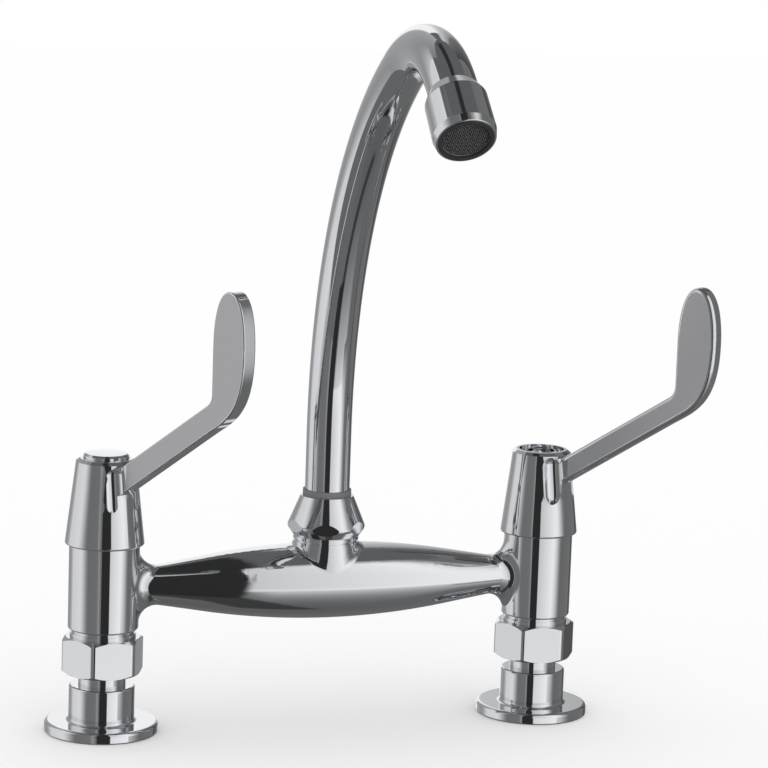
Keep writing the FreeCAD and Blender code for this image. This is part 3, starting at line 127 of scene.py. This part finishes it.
# ---------------------------------------------------------------- node helpers
class Nodes:
    """A short way to add nodes to a material or the world."""

    def __init__(self, owner):
        owner.use_nodes = True
        self.tree = owner.node_tree
        self.tree.nodes.clear()

    def add(self, kind, **settings):
        node = self.tree.nodes.new(kind)
        for key, value in settings.items():
            setattr(node, key, value)
        return node

    def link(self, source, target):
        self.tree.links.new(source, target)

    def put(self, socket, value):
        if isinstance(value, bpy.types.NodeSocket):
            self.link(value, socket)
        else:
            socket.default_value = value

    def math(self, operation, first, second=0.0):
        node = self.add("ShaderNodeMath", operation=operation)
        for index, value in enumerate((first, second)):
            self.put(node.inputs[index], value)
        return node.outputs[0]

    def mapped(self, value, low, high, to_low, to_high, smooth=False):
        node = self.add("ShaderNodeMapRange", clamp=True)
        if smooth:
            node.interpolation_type = "SMOOTHSTEP"
        for name, item in zip(
            ("Value", "From Min", "From Max", "To Min", "To Max"),
            (value, low, high, to_low, to_high),
        ):
            self.put(node.inputs[name], item)
        return node.outputs[0]

    def object_point(self):
        return self.add("ShaderNodeTexCoord").outputs["Object"]

    def noise(self, scale, detail=3.0, roughness=0.5, stretch=None):
        node = self.add("ShaderNodeTexNoise")
        node.inputs["Scale"].default_value = scale
        node.inputs["Detail"].default_value = detail
        node.inputs["Roughness"].default_value = roughness
        point = self.object_point()
        if stretch:
            mapping = self.add("ShaderNodeMapping")
            mapping.inputs["Scale"].default_value = stretch
            self.link(point, mapping.inputs["Vector"])
            point = mapping.outputs[0]
        self.link(point, node.inputs["Vector"])
        return node.outputs["Fac"]

    def blend_colour(self, factor, first, second):
        node = self.add("ShaderNodeMix", data_type="RGBA")
        self.put(node.inputs["Factor"], factor)
        self.put(node.inputs[6], first)
        self.put(node.inputs[7], second)
        return node.outputs[2]

    def bump(self, height, strength, distance):
        node = self.add("ShaderNodeBump")
        node.inputs["Strength"].default_value = strength
        node.inputs["Distance"].default_value = distance
        self.link(height, node.inputs["Height"])
        return node.outputs[0]

    def surface(self, shader):
        output = self.add("ShaderNodeOutputMaterial")
        self.link(shader, output.inputs["Surface"])


def rgba(red, green, blue):
    return (red, green, blue, 1.0)


def grey(value):
    return (value, value, value, 1.0)


def new_material(name):
    material = bpy.data.materials.new(name)
    return material, Nodes(material)


def principled(nodes, metallic=0.0, specular=0.5):
    shader = nodes.add("ShaderNodeBsdfPrincipled")
    shader.inputs["Metallic"].default_value = metallic
    shader.inputs["IOR"].default_value = 1.5
    shader.inputs["Specular IOR Level"].default_value = specular
    return shader


# ---------------------------------------------------------------- finishes
def chrome(name, satin=None):
    """Polished plating: a nearly even mirror whose polish wanders a little. satin is the normal of
    a lever's two flat faces and its hub's place on X: beyond the hub those faces are finely brushed."""
    material, nodes = new_material(name)
    shader = principled(nodes, metallic=1.0)
    drift = nodes.noise(28.0, 3.0)
    fine = nodes.noise(900.0, 2.0)
    colour = nodes.blend_colour(drift, rgba(0.79, 0.805, 0.83), rgba(0.83, 0.845, 0.868))
    roughness = nodes.mapped(drift, 0.3, 0.7, 0.028, 0.05)
    if satin:
        normal, hub_x = satin
        coordinates = nodes.add("ShaderNodeTexCoord")
        dot = nodes.add("ShaderNodeVectorMath", operation="DOT_PRODUCT")
        nodes.link(coordinates.outputs["Normal"], dot.inputs[0])
        dot.inputs[1].default_value = normal
        facing = nodes.math("ABSOLUTE", dot.outputs["Value"])
        flat = nodes.mapped(facing, *SATIN_FACING, 0.0, 1.0)
        separate = nodes.add("ShaderNodeSeparateXYZ")
        nodes.link(coordinates.outputs["Object"], separate.inputs[0])
        east = nodes.math("SUBTRACT", separate.outputs["X"], hub_x)
        north = separate.outputs["Y"]
        squared = nodes.math("ADD", nodes.math("MULTIPLY", east, east),
                             nodes.math("MULTIPLY", north, north))
        away = nodes.mapped(
            nodes.math("SQRT", squared), SATIN_START, SATIN_START + SATIN_FADE, 0.0, 1.0,
        )
        mask = nodes.math("MULTIPLY", flat, away)
        roughness = nodes.mapped(mask, 0.0, 1.0, roughness, SATIN_ROUGHNESS)
        colour = nodes.blend_colour(mask, colour, SATIN_COLOUR)
    nodes.link(colour, shader.inputs["Base Color"])
    nodes.link(roughness, shader.inputs["Roughness"])
    nodes.link(nodes.bump(fine, 0.012, 0.00002), shader.inputs["Normal"])
    nodes.surface(shader.outputs[0])
    return material


def brass():
    """Turned brass with faint tool rings."""
    material, nodes = new_material("brass")
    shader = principled(nodes, metallic=1.0)
    rings = nodes.add("ShaderNodeTexWave", wave_type="BANDS", bands_direction="Z")
    rings.inputs["Scale"].default_value = 900.0
    rings.inputs["Distortion"].default_value = 0.4
    nodes.link(nodes.object_point(), rings.inputs["Vector"])
    drift = nodes.noise(90.0, 4.0)
    colour = nodes.blend_colour(drift, rgba(0.66, 0.47, 0.2), rgba(0.78, 0.6, 0.3))
    nodes.link(colour, shader.inputs["Base Color"])
    nodes.link(nodes.mapped(drift, 0.3, 0.7, 0.22, 0.36), shader.inputs["Roughness"])
    nodes.link(nodes.bump(rings.outputs["Fac"], 0.15, 0.00005), shader.inputs["Normal"])
    nodes.surface(shader.outputs[0])
    return material


def steel():
    """Plain stainless steel with a drawn grain."""
    material, nodes = new_material("steel")
    shader = principled(nodes, metallic=1.0)
    grain = nodes.noise(700.0, 3.0, 0.6, (1.0, 1.0, 0.08))
    colour = nodes.blend_colour(grain, rgba(0.5, 0.5, 0.5), rgba(0.64, 0.64, 0.63))
    nodes.link(colour, shader.inputs["Base Color"])
    nodes.link(nodes.mapped(grain, 0.3, 0.7, 0.2, 0.34), shader.inputs["Roughness"])
    nodes.link(nodes.bump(grain, 0.1, 0.00003), shader.inputs["Normal"])
    nodes.surface(shader.outputs[0])
    return material


def screen_steel():
    """The fine wire of the outlet screen, dulled by water."""
    material, nodes = new_material("screen_steel")
    shader = principled(nodes, metallic=1.0)
    drift = nodes.noise(400.0, 3.0)
    colour = nodes.blend_colour(drift, rgba(0.3, 0.3, 0.305), rgba(0.38, 0.38, 0.385))
    nodes.link(colour, shader.inputs["Base Color"])
    nodes.link(nodes.mapped(drift, 0.3, 0.7, 0.55, 0.7), shader.inputs["Roughness"])
    nodes.surface(shader.outputs[0])
    return material


def dielectric(name, first, second, scale, low, high, bump_strength, bump_distance, specular=0.5):
    """A material that is not metal: two close tones, and a grain that also roughens it."""
    material, nodes = new_material(name)
    shader = principled(nodes, specular=specular)
    grain = nodes.noise(scale, 5.0, 0.6)
    broad = nodes.noise(scale * 0.08, 2.0)
    nodes.link(nodes.blend_colour(broad, first, second), shader.inputs["Base Color"])
    nodes.link(nodes.mapped(grain, 0.3, 0.7, low, high), shader.inputs["Roughness"])
    nodes.link(nodes.bump(grain, bump_strength, bump_distance), shader.inputs["Normal"])
    nodes.surface(shader.outputs[0])
    return material


# ---------------------------------------------------------------- outlet screen
def strand(path, radius, sides, closed=False):
    """Round wire along a list of (point, first cross direction, second cross direction)."""
    count = len(path)
    vertices = [
        point + radius * (math.cos(math.tau * k / sides) * first + math.sin(math.tau * k / sides) * second)
        for point, first, second in path
        for k in range(sides)
    ]
    faces = []
    for step in range(count if closed else count - 1):
        after = (step + 1) % count
        for k in range(sides):
            nearby = (k + 1) % sides
            faces.append((step * sides + k, step * sides + nearby, after * sides + nearby, after * sides + k))
    if not closed:
        faces.append(tuple(reversed(range(sides))))
        faces.append(tuple(range((count - 1) * sides, count * sides)))
    return vertices, faces


def woven_screen():
    """Screen of crossing wires with a rolled rim, in place of the plain screen disc."""
    plate = NODES["aerator_screen"]
    turn = math.radians(SPOUT_END_ANGLE)
    outward = Vector((0.0, -math.sin(turn), math.cos(turn)))
    across = Vector((1.0, 0.0, 0.0))
    along = outward.cross(across)
    axes = Matrix((across, along, outward))
    points = [axes @ (plate.matrix_world @ vertex.co) for vertex in plate.data.vertices]
    low = [min(point[k] for point in points) for k in range(3)]
    high = [max(point[k] for point in points) for k in range(3)]
    centre = ((low[0] + high[0]) / 2 * across + (low[1] + high[1]) / 2 * along
              + (low[2] + WIRE_DEPTH) * outward)
    radius = (high[0] - low[0]) / 2
    pieces = []
    count = int(radius / WIRE_PITCH)
    for number in range(-count, count + 1):
        offset = number * WIRE_PITCH
        half = math.sqrt(radius * radius - offset * offset) - WIRE_RADIUS
        steps = max(2, int(2 * half / (WIRE_PITCH / 4)))
        for run, side, phase in ((across, along, 0.0), (along, across, math.pi)):
            path = []
            for step in range(steps + 1):
                place = -half + 2 * half * step / steps
                wave = math.cos(math.pi * (place / WIRE_PITCH + number) + phase)
                point = centre + place * run + offset * side + WIRE_RADIUS * wave * outward
                path.append((point, side, outward))
            pieces.append(strand(path, WIRE_RADIUS, WIRE_SIDES))
    rim = []
    for step in range(RIM_STEPS):
        angle = math.tau * step / RIM_STEPS
        spoke = math.cos(angle) * across + math.sin(angle) * along
        rim.append((centre + (radius - RIM_RADIUS) * spoke + RIM_RISE * outward, spoke, outward))
    pieces.append(strand(rim, RIM_RADIUS, RIM_SIDES, closed=True))
    vertices, faces = [], []
    for more_vertices, more_faces in pieces:
        start = len(vertices)
        vertices.extend(more_vertices)
        faces.extend(tuple(start + k for k in face) for face in more_faces)
    mesh = bpy.data.meshes.new("woven_screen")
    mesh.from_pydata(vertices, [], faces)
    mesh.polygons.foreach_set("use_smooth", [True] * len(mesh.polygons))
    obj = bpy.data.objects.new("woven_screen", mesh)
    bpy.context.scene.collection.objects.link(obj)
    obj.data.materials.append(screen_steel())
    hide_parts("aerator_screen")
    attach(obj, "spout")


# ---------------------------------------------------------------- studio
def only_in_reflections(obj):
    """A card of the studio: metal shows it, and it neither hides the object nor shades it."""
    obj.visible_camera = False
    obj.visible_diffuse = False
    obj.visible_shadow = False
    obj.visible_transmission = False
    obj.visible_volume_scatter = False


def arc_card(name, radius, start, end, low, high, columns=48):
    """A curved upright card round the object; u runs with the azimuth and v with the height."""
    vertices, faces, places = [], [], []
    for column in range(columns + 1):
        share = column / columns
        angle = math.radians(start + (end - start) * share)
        for height, v in ((low, 0.0), (high, 1.0)):
            vertices.append((radius * math.sin(angle), -radius * math.cos(angle), height))
            places.append((share, v))
    for column in range(columns):
        first = column * 2
        faces.append((first, first + 2, first + 3, first + 1))
    return card_mesh(name, vertices, faces, places)


def flat_card(name, corners):
    """A flat card from its four corners, counted from the lower left."""
    return card_mesh(name, corners, [(0, 1, 2, 3)], [(0, 0), (1, 0), (1, 1), (0, 1)])


def card_mesh(name, vertices, faces, places):
    mesh = bpy.data.meshes.new(name)
    mesh.from_pydata(vertices, [], faces)
    layer = mesh.uv_layers.new(name="place")
    for loop in mesh.loops:
        layer.data[loop.index].uv = places[loop.vertex_index]
    obj = bpy.data.objects.new(name, mesh)
    bpy.context.scene.collection.objects.link(obj)
    return obj


def glow(name, level_start, level_end, soft_start, soft_end, soft_low, soft_high):
    """An even panel of light or shade: its level runs from one side to the other, and each edge
    fades out over a share of the card."""
    material, nodes = new_material(name)
    place = nodes.add("ShaderNodeUVMap", uv_map="place")
    separate = nodes.add("ShaderNodeSeparateXYZ")
    nodes.link(place.outputs[0], separate.inputs[0])
    u, v = separate.outputs["X"], separate.outputs["Y"]
    mask = None
    for value, soft in (
        (u, soft_start),
        (nodes.math("SUBTRACT", 1.0, u), soft_end),
        (v, soft_low),
        (nodes.math("SUBTRACT", 1.0, v), soft_high),
    ):
        if soft > 0:
            edge = nodes.mapped(value, 0.0, soft, 0.0, 1.0, smooth=True)
            mask = edge if mask is None else nodes.math("MULTIPLY", mask, edge)
    emission = nodes.add("ShaderNodeEmission")
    emission.inputs["Color"].default_value = grey(1.0)
    nodes.link(nodes.mapped(u, 0.0, 1.0, level_start, level_end), emission.inputs["Strength"])
    clear = nodes.add("ShaderNodeBsdfTransparent")
    mix = nodes.add("ShaderNodeMixShader")
    nodes.link(mask, mix.inputs[0])
    nodes.link(clear.outputs[0], mix.inputs[1])
    nodes.link(emission.outputs[0], mix.inputs[2])
    nodes.surface(mix.outputs[0])
    return material


def wall(name, start, end, top, levels, softness, radius=SHELL_RADIUS):
    """A curved card from the studio's bottom to top, with a level at each of its two sides. softness
    is in degrees for the two sides, and in metres for the lower and upper edge."""
    card = arc_card(name, radius, start, end, STUDIO_BOTTOM, top)
    width, height = end - start, top - STUDIO_BOTTOM
    card.data.materials.append(glow(
        name, levels[0], levels[1],
        softness[0] / width, softness[1] / width, softness[2] / height, softness[3] / height,
    ))
    only_in_reflections(card)


def panel(name, corners, level, softness):
    """A flat card of one level; softness is the share of the card over which each edge fades."""
    card = flat_card(name, corners)
    card.data.materials.append(glow(name, level, level, *softness))
    only_in_reflections(card)


def disc(name, height, radius, find_level, columns=64):
    """A round level card; find_level adds the nodes that give its brightness."""
    rim = [math.tau * column / columns for column in range(columns)]
    vertices = [(radius * math.cos(angle), radius * math.sin(angle), height) for angle in rim]
    places = [((x / radius + 1) / 2, (y / radius + 1) / 2) for x, y, _ in vertices]
    card = card_mesh(name, vertices, [tuple(range(columns))], places)
    material, nodes = new_material(name)
    emission = nodes.add("ShaderNodeEmission")
    nodes.put(emission.inputs["Strength"], find_level(nodes))
    nodes.surface(emission.outputs[0])
    card.data.materials.append(material)
    only_in_reflections(card)


def even_level(level):
    return lambda nodes: level


def painted_mat_shade_and_light(nodes):
    """Brightness of the mat: a little darker in the middle, a painted shadow of the object, and brighter
    towards the front right, a painted pool of softbox light.
    """
    separate = nodes.add("ShaderNodeSeparateXYZ")
    nodes.link(nodes.object_point(), separate.inputs[0])
    east, north = separate.outputs["X"], separate.outputs["Y"]
    front = nodes.math("MULTIPLY", north, -1.0)
    squared = nodes.math("ADD", nodes.math("MULTIPLY", east, east), nodes.math("MULTIPLY", north, north))
    away = nodes.math("SQRT", squared)
    azimuth = nodes.math("DEGREES", nodes.math("ARCTAN2", east, front))
    # Painted shadow of the object: the mat is darker near the middle.
    base = nodes.mapped(away, *MAT_MIDDLE_FADE, *MAT_LEVELS, smooth=True)
    # Painted pool of softbox light towards the front right.
    lit = nodes.math(
        "MULTIPLY",
        nodes.mapped(azimuth, *MAT_LIT_START, 0.0, 1.0, smooth=True),
        nodes.mapped(azimuth, *MAT_LIT_END, 1.0, 0.0, smooth=True),
    )
    lit = nodes.math("MULTIPLY", lit, nodes.mapped(away, *MAT_LIT_FADE, 0.0, 1.0, smooth=True))
    return nodes.mapped(lit, 0.0, 1.0, base, MAT_LIT_LEVEL)


def make_studio():
    world = bpy.data.worlds.new("studio")
    bpy.context.scene.world = world
    nodes = Nodes(world)
    background = nodes.add("ShaderNodeBackground")
    background.inputs["Color"].default_value = grey(1.0)
    background.inputs["Strength"].default_value = 1.0
    output = nodes.add("ShaderNodeOutputWorld")
    nodes.link(background.outputs[0], output.inputs["Surface"])

    floor = flat_card("floor", [
        (-FLOOR_REACH, -FLOOR_REACH, 0), (FLOOR_REACH, -FLOOR_REACH, 0),
        (FLOOR_REACH, FLOOR_REACH, 0), (-FLOOR_REACH, FLOOR_REACH, 0),
    ])
    material, nodes = new_material("floor")
    shader = nodes.add("ShaderNodeBsdfDiffuse")
    shader.inputs["Color"].default_value = grey(0.99)
    nodes.surface(shader.outputs[0])
    floor.data.materials.append(material)
    # Metal sees the grey mat below instead of this white floor; the mat carries painted shade and painted
    # light.
    floor.visible_glossy = False

    wall("wall_left", -105, -21.6, WALL_TOP, (0.16, 0.182), (6.4, 4.2, 0, 0))
    wall("wall_right", 40.2, 124, WALL_TOP, (0.137, 0.185), (3.1, 2.4, 0, 0))
    wall("wall_back_left", -181, -127, WALL_TOP, (0.434, 0.226), (6.2, 2.9, 0, 0))
    wall("wall_back_right", 143, 169, WALL_TOP, (0.2, 0.87), (2, 10.4, 0, 0))
    wall("softbox_left", -151, -64.4, 1.21, (0.644, 0.867), (31, 31, 0.033, 0.231), SOFTBOX_RADIUS)
    wall("softbox_right", -13.6, 71.5, 1.81, (0.573, 1.21), (2.7, 33, 0.36, 0.65), SOFTBOX_RADIUS)
    wall("flag_right", 118, 147, WALL_TOP, (0.05, 0.188), (3.5, 1.6, 0, 0), FLAG_RADIUS)
    wall("rim_left", -39.4, -28.8, WALL_TOP, (0.233, 0.31), (5.9, 1.4, 0, 0), FLAG_RADIUS)

    panel("flag_front", [
        (-0.288, -FLAG_DISTANCE, STUDIO_BOTTOM), (-0.014, -FLAG_DISTANCE, STUDIO_BOTTOM),
        (-0.014, -FLAG_DISTANCE, FLAG_TOP), (-0.288, -FLAG_DISTANCE, FLAG_TOP),
    ], 0.027, (0.09, 0.09, 0, 0.02))

    disc("ceiling", CEILING_HEIGHT, CEILING_RADIUS, even_level(0.124))
    under = CEILING_HEIGHT - CARD_GAP
    panel("ceiling_strip", [
        (-0.267, -1.6, under), (0.093, -1.6, under), (0.093, 0.92, under), (-0.267, 0.92, under),
    ], 0.03, (0.217, 0.217, 0, 0.08))

    # The mat shows in reflections only, in place of the floor, with a painted shadow of the object and a
    # painted pool of light.
    disc("mat", STUDIO_BOTTOM, MAT_RADIUS, painted_mat_shade_and_light)
    over = STUDIO_BOTTOM + CARD_GAP
    # A painted shadow of the camera on the mat: a dark strip from under the object out to the front left.
    panel("mat_painted_camera_shadow", [
        (-0.435, -1.3, over), (-0.2, -1.3, over), (0.139, 0.0, over), (-0.0045, 0.0, over),
    ], 0.049, (0.16, 0.16, 0, 0.04))


# ---------------------------------------------------------------- dressing
def dress():
    finishes = {
        "chrome": chrome("chrome"),
        "brass": brass(),
        "steel": steel(),
        "screen_steel": screen_steel(),
        "ceramic": dielectric("ceramic", rgba(0.86, 0.85, 0.82), rgba(0.92, 0.91, 0.89),
                              700.0, 0.16, 0.3, 0.05, 0.00002),
        "rubber": dielectric("rubber", grey(0.02), grey(0.035), 1500.0, 0.55, 0.75, 0.2, 0.00004),
        "fibre": dielectric("fibre", rgba(0.3, 0.1, 0.06), rgba(0.42, 0.16, 0.1),
                            900.0, 0.75, 0.92, 0.4, 0.00008, 0.3),
        "grey_plastic": dielectric("grey_plastic", grey(0.15), grey(0.19),
                                   1200.0, 0.42, 0.56, 0.1, 0.00003),
        "black_plastic": dielectric("black_plastic", grey(0.02), grey(0.03),
                                    1200.0, 0.36, 0.5, 0.1, 0.00003),
    }
    for entry in frame["record"]["subparts"]:
        for place in NODES[entry["node"]].material_slots:
            place.link = "OBJECT"
            place.material = finishes[entry["material_slot"]]
    for name, hub_x, angle in LEVER_ANGLES:
        turn = math.radians(angle)
        finish = chrome(name + "_chrome", ((math.cos(turn), math.sin(turn), 0.0), hub_x))
        for place in NODES[name].material_slots:
            place.link = "OBJECT"
            place.material = finish


make_camera()
make_studio()
dress()
woven_screen()

scene = bpy.context.scene
scene.view_settings.view_transform = "Standard"
